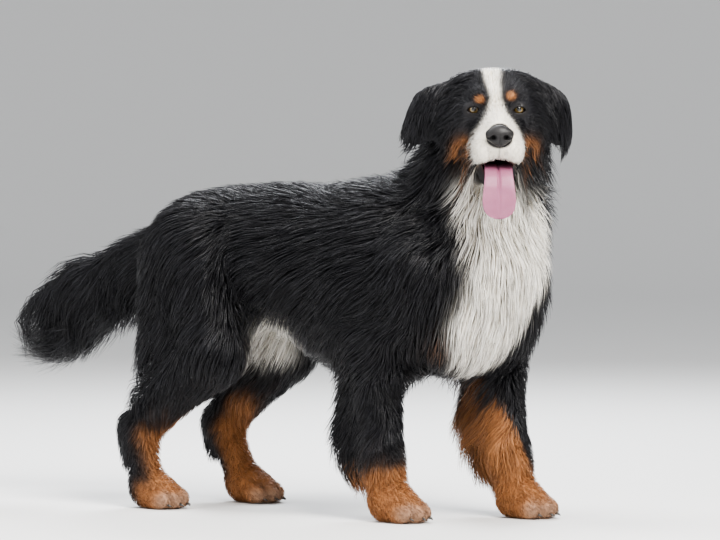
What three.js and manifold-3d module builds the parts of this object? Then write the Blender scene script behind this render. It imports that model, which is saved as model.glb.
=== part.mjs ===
// A life-size standing Bernese mountain dog, panting, its head turned to its right.
// Millimetres. +X is the way the body faces, +Y the dog's left and +Z up. The soles stand on Z = 0.
// Flesh and coat are one smooth volume: rounded masses along a skeleton, blended together.
// That volume is then parted with thin cuts into the pieces that a person would name.
import * as THREE from "three";
import Module from "manifold-3d";
import { mergeVertices } from "three/addons/utils/BufferGeometryUtils.js";

const wasm = await Module();
wasm.setup();

// Driving sizes
const GAP = 0.4; // width of the cut between neighbours
const SOFT_GAP = 3.4; // the same between curved neighbours, whose facets differ
const STANCE = 110; // from the middle of the body to the middle of each foot
const PAW = { length: 106, width: 94, height: 62 };
const CLAW = { radius: 5, length: 18, up: 10 };
const EYE_LINE = [376, -106, 813]; // the point midway between the eyes
const HEAD_YAW = THREE.MathUtils.degToRad(-55); // the head's turn away from the body's heading
const HEAD_PITCH = THREE.MathUtils.degToRad(2); // nose slightly down
const EYE = { radius: 12.5, forward: -2, out: 43, socket: [20, 18, 12] };
const NOSE = { place: [108, 0, -48], radii: [18, 27, 21], nostril: 7 };
const EAR = { root: [-52, 72, 34], facing: THREE.MathUtils.degToRad(25), flap: [1, 0.42, 1] };
const EAR_SPREAD = { right: 92, left: 68 }; // how far out each tip hangs
const CELL = { trunk: 53, leg: 38, paw: 24, head: 22, ear: 23, tongue: 12 }; // widths of a facet
const SIDES = { right: -1, left: 1 };

// The skeleton's points: where the middle of each joint is
const WITHERS = [150, 0, 575];
const SKULL_BASE = [318, -22, 762];
const TAIL_ROOT = [-445, 0, 560];
const TAIL_BEND = [-700, 0, 408];
const TAIL_END = [-795, 0, 350];
const FORE = {
  right: { shoulder: [205, -98, 480], elbow: [98, -112, 345], wrist: [118, -STANCE, 112] },
  left: { shoulder: [225, 98, 480], elbow: [226, 126, 345], wrist: [279, STANCE, 112] },
};
const HIND = {
  right: { hip: [-345, -84, 520], stifle: [-288, -114, 325], hock: [-470, -STANCE, 158], toe: -434 },
  left: { hip: [-345, 84, 520], stifle: [-268, 114, 325], hock: [-415, STANCE, 158], toe: -348 },
};

const FUR = { black: 0x17161a, white: 0xe9e4da, rust: 0x8a4f22 };
const LEATHER = 0x1c1b1e;
const HAZEL = 0x6b5426;
const PINK = 0xb06a78;
const mix = (a, b, t) => a + (b - a) * t;
const bothSides = (make) => [make(1), make(-1)];

// Masses: each gives the distance from a point to its surface, negative inside.
function egg([cx, cy, cz], [rx, ry, rz]) {
  return (x, y, z) => {
    const u = (x - cx) / rx;
    const v = (y - cy) / ry;
    const w = (z - cz) / rz;
    const near = Math.hypot(u, v, w);
    const steep = Math.hypot(u / rx, v / ry, w / rz);
    return steep < 1e-9 ? -Math.min(rx, ry, rz) : (near * (near - 1)) / steep;
  };
}

// A limb tapers from radius ra at a to rb at b, and squash narrows it along X, Y and Z.
function limb(a, b, ra, rb, squash = [1, 1, 1]) {
  const run = b.map((value, axis) => (value - a[axis]) / squash[axis]);
  const square = run[0] ** 2 + run[1] ** 2 + run[2] ** 2;
  const thinnest = Math.min(...squash);
  return (x, y, z) => {
    const u = (x - a[0]) / squash[0];
    const v = (y - a[1]) / squash[1];
    const w = (z - a[2]) / squash[2];
    const along = (u * run[0] + v * run[1] + w * run[2]) / square;
    const t = Math.min(1, Math.max(0, along));
    const off = Math.hypot(u - run[0] * t, v - run[1] * t, w - run[2] * t);
    return (off - mix(ra, rb, t)) * thinnest;
  };
}

// One volume from several, with a fillet about as wide as soft where they meet
function blend(soft, ...masses) {
  return (x, y, z) => {
    let found = masses[0](x, y, z);
    for (let i = 1; i < masses.length; i++) {
      const next = masses[i](x, y, z);
      const share = Math.max(soft - Math.abs(found - next), 0) / soft;
      found = Math.min(found, next) - (share * share * soft) / 4;
    }
    return found;
  };
}

const carve = (mass, hollow) => (x, y, z) => Math.max(mass(x, y, z), -hollow(x, y, z));
const grown = (mass, by) => (x, y, z) => mass(x, y, z) - by;

// A frame at a place, turned by yaw about Z and then by pitch about its own Y
function frameAt(place, yaw, pitch) {
  const turn = new THREE.Euler(0, pitch, yaw, "ZYX");
  return new THREE.Matrix4().makeRotationFromEuler(turn).setPosition(...place);
}

// A mass given in a turned frame, such as the head's own
function placed(frame, mass) {
  const e = frame.clone().invert().elements;
  return (x, y, z) =>
    mass(
      e[0] * x + e[4] * y + e[8] * z + e[12],
      e[1] * x + e[5] * y + e[9] * z + e[13],
      e[2] * x + e[6] * y + e[10] * z + e[14],
    );
}

// Trunk and neck, out to the tips of the coat
const trunk = blend(
  60,
  egg([60, 0, 472], [262, 184, 216]), // rib cage
  egg([-175, 0, 512], [258, 166, 160]), // loin and flanks
  limb([-130, 0, 405], [40, 0, 345], 60, 82), // longer hair under the belly
  egg([-335, 0, 530], [150, 156, 122]), // croup
  ...bothSides((s) => egg([258, 60 * s, 462], [138, 126, 186])), // forechest
);
const neck = blend(
  60,
  limb(WITHERS, SKULL_BASE, 128, 104),
  limb([318, -38, 690], [318, -30, 500], 94, 122), // bib under the throat
  egg([333, 44, 645], [92, 108, 130]), // ruff on the far side
);

// The tail, carried low, with its plume hanging from it
const PLUME = [1, 0.5, 1];
const tail = blend(
  40,
  limb(TAIL_ROOT, [-560, 0, 490], 46, 66, [1, 0.8, 1]),
  limb([-575, 0, 440], TAIL_BEND, 104, 98, PLUME),
  limb(TAIL_BEND, TAIL_END, 98, 76, PLUME),
  limb([-720, 0, 350], [-795, 0, 300], 62, 50, PLUME),
);

// The four toes of a paw, the outer two standing back
function toesOf(x, y) {
  const spread = PAW.width * 0.36;
  return [-1, -1 / 3, 1 / 3, 1].map((share) => {
    const back = Math.abs(share) === 1 ? 15 : 0;
    return [x + PAW.length * 0.4 - back, y + share * spread, 20];
  });
}

function paw(x, y) {
  const toes = toesOf(x, y).map((place) => egg(place, [31, 14.5, 24]));
  return blend(14, egg([x, y, 30], [PAW.length * 0.5, PAW.width * 0.48, 40]), ...toes);
}

const FEATHER = [1, 0.6, 1];
const forePawX = (side) => FORE[side].wrist[0] + 34;
const hindPawX = (side) => HIND[side].toe + 4;

function foreLeg(side) {
  const { shoulder, elbow, wrist } = FORE[side];
  const [x, y] = wrist;
  const fringe = side === "left" ? [x - 106, y, 92] : [x - 66, y, 104];
  return blend(
    34,
    limb(shoulder, elbow, 106, side === "left" ? 84 : 76, [1, 0.84, 1]),
    limb(elbow, wrist, 64, 45),
    limb(wrist, [x + 14, y, 45], 43, 40),
    limb([x - 62, y, 330], [x - 104, y, 158], 58, 40, FEATHER), // feathering behind the forearm
    limb([x - 104, y, 158], fringe, 38, 20, FEATHER),
    paw(forePawX(side), y),
  );
}

function hindLeg(side) {
  const { hip, stifle, hock, toe } = HIND[side];
  const [x, y] = hock;
  return blend(
    34,
    limb(hip, stifle, 118, 80, [1, 0.88, 1]),
    limb([-412, hip[1], 500], [x + 32, y, 262], 78, 52, [1, 0.9, 1]), // breeches
    limb(stifle, hock, 74, 40),
    limb(hock, [toe - 22, y, 52], 39, 37),
    limb([x - 34, y, 168], [x - 40, y, 92], 28, 17, FEATHER), // tuft under the hock
    paw(hindPawX(side), y),
  );
}

// The head in its own frame: forward, left and up from the eye line
const headFrame = frameAt(EYE_LINE, HEAD_YAW, HEAD_PITCH);
const skull = blend(
  26,
  egg([-64, 0, 10], [84, 82, 70]),
  ...bothSides((s) => egg([-10, 27 * s, 26], [30, 30, 26])), // brows
  ...bothSides((s) => egg([-46, 60 * s, -38], [60, 40, 52])), // cheeks
  limb([-60, 0, -40], [-110, 0, -60], 74, 90), // to the neck
);
const muzzle = blend(
  18,
  limb([0, 0, -44], [74, 0, -60], 50, 36),
  limb([18, 0, -18], [90, 0, -36], 24, 20), // bridge
  ...bothSides((s) => egg([58, 30 * s, -78], [48, 23, 32])), // flews
);
const jaw = blend(20, limb([-40, 0, -88], [20, 0, -122], 60, 37), limb([20, 0, -122], [64, 0, -144], 35, 20));
const mouth = limb([-4, 0, -92], [104, 0, -126], 7, 25, [1, 1.9, 1]);
const head = placed(headFrame, carve(blend(22, skull, muzzle, jaw), mouth));
const tongue = placed(
  headFrame,
  blend(
    10,
    limb([0, 0, -112], [84, 0, -126], 26, 29, [1, 1, 0.3]),
    limb([90, 0, -132], [97, 0, -180], 29, 30, [0.28, 1, 1]),
  ),
);

// Each ear is a flap that hangs in a frame of its own, whose Y runs through its thickness.
function ear(side) {
  const s = SIDES[side];
  const [forward, out, up] = EAR.root;
  const frame = frameAt([forward, out * s, up], Math.PI / 2 + s * EAR.facing, 0);
  const tip = EAR_SPREAD[side] * s;
  const bend = [tip * 0.56, 0, -44];
  const upper = limb([0, 0, 0], bend, 34, 41, EAR.flap);
  const lower = limb(bend, [tip, 0, -86], 41, 24, EAR.flap);
  const flap = blend(20, upper, lower);
  return placed(headFrame, placed(frame, flap));
}

const legs = Object.keys(SIDES).flatMap((side) => [foreLeg(side), hindLeg(side)]);
const body = blend(44, trunk, neck, tail, ...legs, head);

// The surface of a volume inside a box: one vertex in each cell that it passes through
function surfaceOf(field, box, cell) {
  const low = box.min.toArray();
  const high = box.max.toArray();
  const counts = low.map((value, axis) => Math.ceil((high[axis] - value) / cell) + 1);
  const strides = [1, counts[0], counts[0] * counts[1]];
  const indexOf = (i, j, k) => i + j * strides[1] + k * strides[2];
  const wall = cell * 1.5; // the outer layers of the grid stay empty
  const toWall = (c, d) => Math.max(low[d] + wall - c, c - high[d] + wall);
  const walled = (p) => Math.max(field(...p), ...p.map(toWall));
  const corner = (...place) => place.map((n, d) => low[d] + n * cell);

  const values = new Float32Array(counts[0] * counts[1] * counts[2]);
  eachCell([0, 0, 0], counts, (i, j, k) => (values[indexOf(i, j, k)] = walled(corner(i, j, k))));
  const cornersOf = (i, j, k) => CORNERS.map((c) => indexOf(i + c[0], j + c[1], k + c[2]));
  untangle(values, counts, cornersOf);

  const vertices = [];
  const vertexOf = new Map();
  eachCell([0, 0, 0], counts.map((n) => n - 1), (i, j, k) => {
    const crossings = CELL_EDGES.flatMap(([m, n]) => {
      const a = values[indexOf(i + m[0], j + m[1], k + m[2])];
      const b = values[indexOf(i + n[0], j + n[1], k + n[2])];
      return a < 0 === b < 0 ? [] : [m.map((value, d) => mix(value, n[d], a / (a - b)))];
    });
    if (crossings.length === 0) return;
    const middle = [0, 1, 2].map((d) => crossings.reduce((sum, c) => sum + c[d], 0) / crossings.length);
    vertexOf.set(indexOf(i, j, k), vertices.length);
    vertices.push(settled(walled, corner(i + middle[0], j + middle[1], k + middle[2]), cell / 3));
  });

  // Each grid edge that the surface crosses is ringed by four cells.
  const triangles = [];
  eachCell([1, 1, 1], counts.map((n) => n - 1), (i, j, k) => {
    const here = indexOf(i, j, k);
    strides.forEach((stride, d) => {
      if (values[here] < 0 === values[here + stride] < 0) return;
      const p = strides[(d + 1) % 3];
      const q = strides[(d + 2) % 3];
      const ring = [here - p - q, here - q, here, here - p].map((n) => vertexOf.get(n));
      if (values[here] >= 0) ring.reverse();
      triangles.push(...splitShort(ring, vertices));
    });
  });
  return solidOf(vertices.flat(), triangles);
}

// Fills the weakest outer corner of each cell that the surface would cross in two separate sheets.
function untangle(values, counts, cornersOf) {
  let filled = 1;
  while (filled > 0) {
    filled = 0;
    eachCell([0, 0, 0], counts.map((n) => n - 1), (i, j, k) => {
      const corners = cornersOf(i, j, k);
      const mask = corners.reduce((bits, at, n) => bits | (values[at] < 0 ? 1 << n : 0), 0);
      if (isSimple(mask)) return;
      const outer = corners.filter((at) => values[at] >= 0);
      values[outer.sort((a, b) => values[a] - values[b])[0]] = -1e-3;
      filled += 1;
    });
  }
}

// A cell is simple when its inner corners hang together along its edges, and its outer ones too.
function isSimple(mask) {
  return hangsTogether(mask) && hangsTogether(255 ^ mask);
}

function hangsTogether(mask) {
  let reached = mask & -mask;
  for (let round = 0; round < 4; round++) {
    for (let n = 0; n < 8; n++) {
      const beside = reached & ((1 << (n ^ 1)) | (1 << (n ^ 2)) | (1 << (n ^ 4)));
      if (beside && mask & (1 << n)) reached |= 1 << n;
    }
  }
  return reached === mask;
}

function eachCell(from, to, visit) {
  for (let k = from[2]; k < to[2]; k++)
    for (let j = from[1]; j < to[1]; j++) for (let i = from[0]; i < to[0]; i++) visit(i, j, k);
}

const CORNERS = [0, 1, 2, 3, 4, 5, 6, 7].map((n) => [n & 1, (n >> 1) & 1, n >> 2]);
const apart = (a, b) => a.reduce((sum, value, d) => sum + Math.abs(value - b[d]), 0);
const neighboursOf = (a, m) => CORNERS.slice(m + 1).filter((b) => apart(a, b) === 1);
const CELL_EDGES = CORNERS.flatMap((a, m) => neighboursOf(a, m).map((b) => [a, b]));

// Moves a point down the slope of the field onto its surface, in two short steps.
function settled(field, start, most) {
  const reach = 0.5;
  let point = start;
  for (let round = 0; round < 2; round++) {
    const value = field(point);
    const ahead = point.map((_, d) => field(point.map((c, n) => (n === d ? c + reach : c))));
    const slope = ahead.map((next) => (next - value) / reach);
    const steep = slope[0] ** 2 + slope[1] ** 2 + slope[2] ** 2;
    if (steep < 1e-6) return point;
    point = point.map((c, d) => c - THREE.MathUtils.clamp((value * slope[d]) / steep, -most, most));
  }
  return point;
}

function splitShort([a, b, c, d], vertices) {
  const far = (m, n) => Math.hypot(...vertices[m].map((value, axis) => value - vertices[n][axis]));
  return far(a, c) <= far(b, d) ? [a, b, c, a, c, d] : [b, c, d, b, d, a];
}

// Closed geometry as a solid that can be joined and cut, and back
function solidOf(positions, indices) {
  const vertProperties = new Float32Array(positions);
  const triVerts = new Uint32Array(indices);
  return new wasm.Manifold(new wasm.Mesh({ numProp: 3, vertProperties, triVerts }));
}

function solidFrom(geometry) {
  const bare = new THREE.BufferGeometry().setIndex(geometry.index);
  bare.setAttribute("position", geometry.getAttribute("position"));
  const merged = mergeVertices(bare, 1e-4);
  const kept = keepWide(Array.from(merged.index.array));
  return solidOf(merged.getAttribute("position").array, kept);
}

// A sphere's poles hold triangles with two like corners once its vertices are merged.
function keepWide(indices) {
  const rows = Array.from({ length: indices.length / 3 }, (_, n) => indices.slice(n * 3, n * 3 + 3));
  return rows.filter((row) => new Set(row).size === 3).flat();
}

function geometryOf(solid) {
  const made = solid.getMesh();
  return new THREE.BufferGeometry()
    .setAttribute("position", new THREE.BufferAttribute(made.vertProperties, 3))
    .setIndex(new THREE.BufferAttribute(made.triVerts, 1));
}

// Cutters: each is a function that gives its solid, grown on every side.
const WORLD = new THREE.Matrix4();

function boxCutter(low, high, frame = WORLD) {
  return (grow) => {
    const size = high.map((value, d) => value - low[d] + grow * 2);
    const middle = high.map((value, d) => (value + low[d]) / 2);
    return solidFrom(new THREE.BoxGeometry(...size).translate(...middle).applyMatrix4(frame));
  };
}

function ballCutter(centre, radii, frame = WORLD, round = 10) {
  return (grow) => {
    const size = radii.map((value) => value + grow);
    const ball = new THREE.SphereGeometry(1, round, Math.round(round * 0.7)).scale(...size);
    return solidFrom(ball.translate(...centre).applyMatrix4(frame));
  };
}

const shared = (a, b) => (grow) => a(grow).intersect(b(grow));

const dog = new THREE.Group();
let taken = null; // all the room that the pieces made so far fill, grown by the gap

function add(name, solid, grownSolid, color, roughness = 0.8) {
  const free = taken ? solid.subtract(taken) : solid;
  const whole = free.decompose().sort((a, b) => b.volume() - a.volume())[0];
  const material = new THREE.MeshStandardMaterial({ color, roughness, metalness: 0 });
  const mesh = new THREE.Mesh(geometryOf(whole), material);
  mesh.name = name;
  dog.add(mesh);
  taken = taken ? taken.add(grownSolid) : grownSolid;
}

const MARGIN = 2.6; // in cells

// The box round a solid, with room for the cells at its rim
function roomRound(solid, margin) {
  const { min, max } = solid.boundingBox();
  return new THREE.Box3(new THREE.Vector3(...min), new THREE.Vector3(...max)).expandByScalar(margin);
}

function addShape(name, shape, cutter, cell, color, roughness) {
  const room = roomRound(cutter(0), cell * MARGIN);
  const solid = surfaceOf(shape, room, cell);
  add(name, solid, surfaceOf(grown(shape, SOFT_GAP), room, cell), color, roughness);
}

function addPart(name, cutter, cell, color, extra = null) {
  const region = cutter(0);
  const solid = surfaceOf(body, roomRound(region, cell * MARGIN), cell);
  add(name, (extra ? solid.add(extra) : solid).intersect(region), cutter(GAP), color);
}

// Head: eyes, nose, tongue and ears first, since the head is hollowed to hold them
for (const [side, s] of Object.entries(SIDES)) {
  const centre = [EYE.forward, EYE.out * s, 0];
  const ball = ballCutter(centre, [EYE.radius, EYE.radius, EYE.radius], headFrame, 10);
  const opening = ballCutter([EYE.forward + 14, (EYE.out + 4) * s, 0], EYE.socket, headFrame);
  add(`${side}_eye`, ball(0), ball(GAP).add(opening(0)), HAZEL, 0.1);
}

const noseCutter = ballCutter(NOSE.place, NOSE.radii, headFrame, 12);
const nostrils = bothSides((s) => {
  const place = [NOSE.place[0] + NOSE.radii[0] - 1, s * NOSE.nostril * 1.9, NOSE.place[2] - 2];
  return ballCutter(place, [NOSE.nostril, NOSE.nostril * 0.8, NOSE.nostril * 0.8], headFrame, 6)(0);
});
const noseSolid = nostrils.reduce((left, pit) => left.subtract(pit), noseCutter(0));
add("nose", noseSolid, noseCutter(GAP), LEATHER, 0.4);

const mouthRoom = boxCutter([-30, -40, -220], [135, 40, -95], headFrame);
addShape("tongue", tongue, mouthRoom, CELL.tongue, PINK, 0.5);
for (const side of Object.keys(SIDES)) {
  const out = [60, 200].map((reach) => reach * SIDES[side]).sort((a, b) => a - b);
  const room = boxCutter([-140, out[0], -100], [20, out[1], 95], headFrame);
  addShape(`${side}_ear`, ear(side), room, CELL.ear, FUR.black);
}

const jawFrame = headFrame.clone().multiply(frameAt([-20, 0, -88], 0, THREE.MathUtils.degToRad(17)));
const aboveThroat = boxCutter([-300, -200, -168], [200, 200, 150], headFrame);
const jawRoom = shared(boxCutter([0, -90, -90], [130, 90, 0], jawFrame), aboveThroat);
addPart("lower_jaw", jawRoom, CELL.head, FUR.white);
const occiput = headFrame.clone().multiply(frameAt([-100, 0, -30], 0, THREE.MathUtils.degToRad(-26)));
const headRoom = shared(boxCutter([0, -130, -260], [300, 130, 200], occiput), aboveThroat);
addPart("head", headRoom, CELL.head, FUR.black);

// Legs, from the paws up
for (const [side, s] of Object.entries(SIDES)) {
  const sideways = (near, far) => [near * s, far * s].sort((a, b) => a - b);
  const [inner, outer] = sideways(40, 230);
  const [fx] = FORE[side].wrist;
  const [hx] = HIND[side].hock;
  const bones = [
    ["fore", forePawX(side), fx - 62],
    ["hind", hindPawX(side), hx - 30],
  ];
  for (const [end, x, heel] of bones) {
    const claws = toesOf(x, STANCE * s).map(([tx, ty]) => {
      const cone = new THREE.ConeGeometry(CLAW.radius, CLAW.length, 5).rotateZ(-Math.PI / 2 - 0.35);
      return solidFrom(cone.translate(tx + 27, ty, CLAW.up));
    });
    const joined = claws.reduce((all, claw) => all.add(claw));
    const room = boxCutter([heel, inner, 0], [x + 100, outer, PAW.height], WORLD);
    addPart(`${side}_${end}_paw`, room, CELL.paw, FUR.rust, joined);
  }
  addPart(`${side}_forearm`, boxCutter([fx - 170, inner, 60], [fx + 100, outer, 292]), CELL.leg, FUR.black);
  addPart(`${side}_upper_arm`, ballCutter([fx + 60, 160 * s, 400], [125, 84, 150]), CELL.leg, FUR.black);
  addPart(`${side}_hock`, boxCutter([hx - 110, inner, 30], [hx + 130, outer, 186]), CELL.leg, FUR.rust);
  addPart(`${side}_lower_leg`, boxCutter([-540, inner, 180], [-180, outer, 318]), CELL.leg, FUR.black);
  addPart(`${side}_thigh`, ballCutter([-335, 160 * s, 420], [150, 92, 165]), CELL.leg, FUR.black);
}

// Neck, trunk and tail
const neckFrame = frameAt([110, 0, 700], 0, THREE.MathUtils.degToRad(24));
addPart("neck", boxCutter([-120, -260, 0], [480, 260, 400], neckFrame), CELL.trunk, FUR.black);
const lengths = [
  ["chest", 60, 600],
  ["barrel", -190, 60],
  ["hips", -478, -190],
  ["tail_base", -660, -478],
  ["tail_tip", -960, -660],
];
for (const [name, back, front] of lengths) {
  addPart(name, boxCutter([back + GAP, -260, 100], [front, 260, 800]), CELL.trunk, FUR.black);
}

// The origin is the middle of the underside.
const bounds = new THREE.Box3().setFromObject(dog);
const centre = bounds.getCenter(new THREE.Vector3());
dog.position.set(-centre.x, -centre.y, -bounds.min.z);
dog.updateMatrixWorld(true);

export default dog;
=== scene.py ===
"""The looks of a life-size standing Bernese mountain dog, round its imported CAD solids.

One skin follows rounded masses of flesh along the skeleton. The coat is thin tapered tufts of solid
mesh: each is rooted on that skin, lies along it, and ends where the CAD's outline of the coat is.
Lengths inside this script are millimetres in the frame the dog was drawn in, where +X is the way the
body faces, +Y its left and +Z up. declare turns them into metres in the row frame.
"""

import math
from itertools import product

import bpy
import numpy as np
from mathutils import Matrix, Vector
from mathutils.kdtree import KDTree


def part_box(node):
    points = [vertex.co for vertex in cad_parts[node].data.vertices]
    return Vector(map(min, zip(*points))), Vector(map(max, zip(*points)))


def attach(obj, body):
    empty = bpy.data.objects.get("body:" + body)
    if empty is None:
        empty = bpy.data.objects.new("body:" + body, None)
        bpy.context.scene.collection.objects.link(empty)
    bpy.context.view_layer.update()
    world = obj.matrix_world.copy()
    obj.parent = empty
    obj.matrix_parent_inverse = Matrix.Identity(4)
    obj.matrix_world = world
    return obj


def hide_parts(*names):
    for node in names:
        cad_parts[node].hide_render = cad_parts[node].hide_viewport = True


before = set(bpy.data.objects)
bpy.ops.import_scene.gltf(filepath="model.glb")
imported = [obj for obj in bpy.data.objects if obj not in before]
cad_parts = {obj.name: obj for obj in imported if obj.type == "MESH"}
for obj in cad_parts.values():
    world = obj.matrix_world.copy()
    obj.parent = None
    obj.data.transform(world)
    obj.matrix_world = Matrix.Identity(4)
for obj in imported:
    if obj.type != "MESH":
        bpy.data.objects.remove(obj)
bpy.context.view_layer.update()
BODY = "root"
rng = np.random.default_rng(7)

# The skeleton, with the same points as the CAD
STANCE = 110
EYE_LINE = np.array((376.0, -106.0, 813.0))
HEAD_YAW = math.radians(-55)
HEAD_PITCH = math.radians(2)
EYE_PLACE = (-2, 43, 0)
EYE_RADIUS = 12.5
NOSE_PLACE = (108, 0, -48)
NOSE_RADII = (18, 27, 21)
WITHERS = (150, 0, 575)
SKULL_BASE = (318, -22, 762)
TAIL_ROOT = (-445, 0, 560)
TAIL_BEND = (-700, 0, 408)
TAIL_END = (-795, 0, 350)
SIDES = {"right": -1, "left": 1}
FORE = {
    "right": {"shoulder": (205, -98, 480), "elbow": (98, -112, 345), "wrist": (118, -STANCE, 112)},
    "left": {"shoulder": (225, 98, 480), "elbow": (226, 126, 345), "wrist": (279, STANCE, 112)},
}
HIND = {
    "right": {
        "hip": (-345, -84, 520),
        "stifle": (-288, -114, 325),
        "hock": (-470, -STANCE, 158),
        "toe": -434,
    },
    "left": {
        "hip": (-345, 84, 520),
        "stifle": (-268, 114, 325),
        "hock": (-415, STANCE, 158),
        "toe": -348,
    },
}
PAW_LENGTH = 106
PAW_WIDTH = 94
EAR_ROOT = (-52, 72, 34)
EAR_FACING = math.radians(25)
EAR_SPREAD = {"right": 92, "left": 68}
EAR_BEND = (0.56, -44)  # the share of the spread, and the height, at which the flap bends
EAR_HANG = -86
EAR_COAT = ((27, 39, 24), 0.42)  # radii from root to tip, and thickness as a share of them
EAR_FLESH = ((22, 34, 19), 0.13)


def axes_of(yaw, pitch=0.0):
    """The columns forward, left and up of a frame turned by yaw about Z, then nose down by pitch."""
    return np.array(Matrix.Rotation(yaw, 3, "Z") @ Matrix.Rotation(pitch, 3, "Y"))


HEAD_AXES = axes_of(HEAD_YAW, HEAD_PITCH)


def from_head(places):
    """Places given as forward, left and up from the eye line, in the dog's frame."""
    return np.asarray(places, float) @ HEAD_AXES.T + EYE_LINE


def to_head(places):
    return (np.asarray(places, float) - EYE_LINE) @ HEAD_AXES


def row_shift():
    """From this script's frame to the row frame, told by where the CAD's eyes are."""
    corners = [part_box(f"{side}_eye") for side in SIDES]
    middles = [(np.array(low) + np.array(high)) / 2 for low, high in corners]
    return np.mean(middles, axis=0) - from_head((EYE_PLACE[0], 0, 0)) / 1000


SHIFT = row_shift()

# Masses: a mass gives the distance from each place to its surface, negative inside.
FAR = 200.0
FELT = 25  # how far outside its box a mass is still looked at


class Mass:
    """A formula for the distance, and the corners of the box that holds the mass"""

    def __init__(self, distance, low, high):
        self.distance = distance
        self.low = np.asarray(low, float)
        self.high = np.asarray(high, float)


def egg(middle, radii):
    middle = np.asarray(middle, float)
    radii = np.asarray(radii, float)

    def distance(places):
        scaled = (places - middle) / radii
        near = np.linalg.norm(scaled, axis=1)
        steep = np.linalg.norm(scaled / radii, axis=1) + 1e-9
        return near * (near - 1) / steep

    return Mass(distance, middle - radii, middle + radii)


def limb(a, b, radius_a, radius_b, squash=(1, 1, 1)):
    a, b, squash = (np.asarray(value, float) for value in (a, b, squash))
    run = (b - a) / squash

    def distance(places):
        off = (places - a) / squash
        along = np.clip(off @ run / (run @ run), 0, 1)
        away = np.linalg.norm(off - along[:, None] * run, axis=1)
        return (away - radius_a - (radius_b - radius_a) * along) * squash.min()

    reach = max(radius_a, radius_b) * squash
    return Mass(distance, np.minimum(a, b) - reach, np.maximum(a, b) + reach)


def smooth_min(a, b, soft):
    """The lesser of two distances, rounded off where they are within soft of each other"""
    share = np.maximum(soft - np.abs(a - b), 0) / soft
    return np.minimum(a, b) - share * share * soft / 4


def blend(soft, *masses):
    """One mass from several, with a fillet about as wide as soft where they meet"""

    def distance(places):
        found = np.full(len(places), FAR)
        for mass in masses:
            reach = soft + FELT
            near = np.all((places > mass.low - reach) & (places < mass.high + reach), axis=1)
            found[near] = smooth_min(found[near], mass.distance(places[near]), soft)
        return found

    low = np.min([mass.low for mass in masses], axis=0)
    high = np.max([mass.high for mass in masses], axis=0)
    return Mass(distance, low, high)


def carve(mass, *hollows):
    def distance(places):
        found = mass.distance(places)
        for hollow in hollows:
            found = np.maximum(found, -hollow.distance(places))
        return found

    return Mass(distance, mass.low, mass.high)


def placed(mass, axes, origin):
    """A mass given in a turned frame, such as the head's own"""
    origin = np.asarray(origin, float)

    def distance(places):
        return mass.distance((places - origin) @ axes)

    corners = list(product(*zip(mass.low, mass.high)))
    turned = np.array(corners) @ axes.T + origin
    return Mass(distance, turned.min(axis=0), turned.max(axis=0))


def both(make):
    """One mass on the left and its mirror on the right"""
    return [make(1), make(-1)]


PLUME = (1, 0.5, 1)
FEATHER = (1, 0.6, 1)
TOE_SHARES = (-1, -1 / 3, 1 / 3, 1)
OUTER_TOE_BACK = 15
TOE_HEIGHT = 20


def toes_of(x, y):
    """The middles of a paw's four toes, the outer two set back"""
    toes = []
    for share in TOE_SHARES:
        back = OUTER_TOE_BACK if abs(share) == 1 else 0
        toes.append((x + PAW_LENGTH * 0.4 - back, y + share * PAW_WIDTH * 0.36, TOE_HEIGHT))
    return toes


def paw(x, y, thin):
    """A paw with its four toes, its hair included when thin is nought"""
    toes = [egg(place, (31 - thin, 14.5 - thin / 3, 24 - thin)) for place in toes_of(x, y)]
    pad = egg((x, y, 30), (PAW_LENGTH * 0.5 - thin, PAW_WIDTH * 0.48 - thin, 40 - thin))
    return blend(14 if thin == 0 else 7, pad, *toes)


def foreleg(side, soft, thin, radii, *behind):
    """Upper arm, forearm and pastern, the feathering behind them, and the paw"""
    shoulder, elbow, wrist = FORE[side].values()
    x, y, _ = wrist
    upper, lower, pastern = radii
    return blend(
        soft,
        limb(shoulder, elbow, *upper, (1, 0.84, 1)),
        limb(elbow, wrist, *lower),
        limb(wrist, (x + 14, y, 45), *pastern),
        *behind,
        paw(x + 34, y, thin),
    )


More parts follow.
